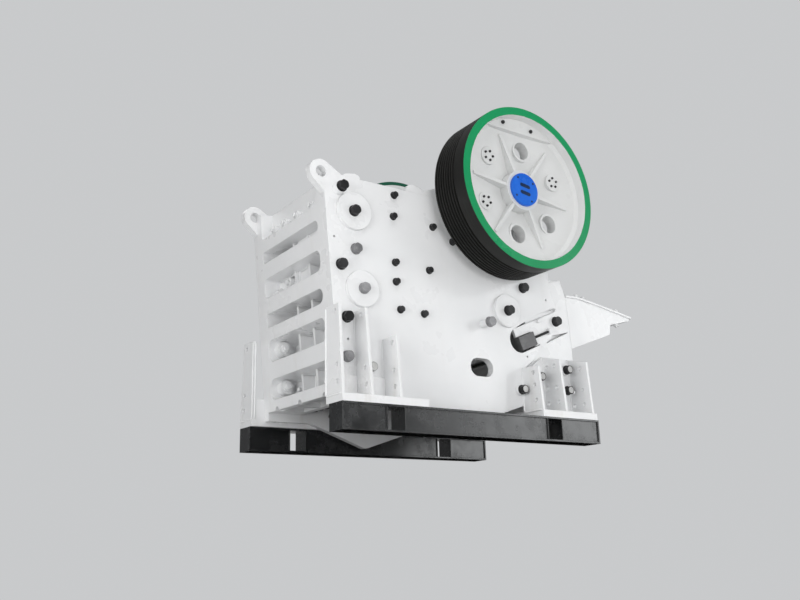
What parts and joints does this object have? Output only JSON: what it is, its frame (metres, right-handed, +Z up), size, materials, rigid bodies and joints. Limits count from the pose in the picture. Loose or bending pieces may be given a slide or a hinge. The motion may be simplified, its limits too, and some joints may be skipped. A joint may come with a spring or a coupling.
{
  "type": "jaw crusher",
  "caption": "Bolted jaw crusher on two skids, with ribbed front casting, swing jaw on an eccentric shaft, grooved pulley, flywheel and motor base.",
  "frame": {"origin": "centre of the bounding box at the level of the skids' undersides", "axes": "+X from the front frame to the motor base, +Y from the pulley to the flywheel, +Z up"},
  "size_m": [3.717, 2.346, 2.9189],
  "materials": {
    "white_paint": "gloss white machine enamel",
    "manganese_steel": "bare cast manganese steel",
    "machined_steel": "machined steel, lightly oiled",
    "black_paint": "semi-gloss black",
    "black_steel": "blackened high-strength bolts",
    "wheel_paint": "green rim face, black grooved rim, white web",
    "blue_paint": "gloss blue"
  },
  "bodies": {
    "frame": {"pulley_side_plate": "white_paint", "flywheel_side_plate": "white_paint", "front_frame": "white_paint", "rear_frame": "white_paint", "fixed_jaw_plate": "manganese_steel", "swing_jaw": "white_paint", "swing_jaw_plate": "manganese_steel", "upper_cheek_plates": "manganese_steel", "lower_cheek_plates": "manganese_steel", "toggle_plate": "white_paint", "toggle_seats": "machined_steel", "adjusting_wedges": "black_steel", "wedge_rods": "black_steel", "tension_rod": "machined_steel", "pulley_side_bearing_housing": "white_paint", "flywheel_side_bearing_housing": "white_paint", "motor_base": "white_paint", "pulley_side_front_foot": "white_paint", "flywheel_side_front_foot": "white_paint", "pulley_side_rear_foot": "white_paint", "flywheel_side_rear_foot": "white_paint", "pulley_side_skid": "black_paint", "flywheel_side_skid": "black_paint", "frame_bolts": "black_steel", "frame_nuts": "machined_steel", "bolt_spacers": "white_paint", "cheek_bolts": "black_steel", "foot_bolts": "machined_steel", "painted_wall_nuts": "white_paint", "black_wall_nuts": "black_steel"},
    "rotor": {"eccentric_shaft": "machined_steel", "grooved_pulley": "wheel_paint", "flywheel": "wheel_paint", "hub_caps": "blue_paint"}
  },
  "joints": [
    {"name": "shaft_spin", "type": "hinge", "parent": "frame", "child": "rotor", "pos_m": [0.0505, 0, 2.174], "axis": [0, 1, 0], "continuous": true}
  ]
}
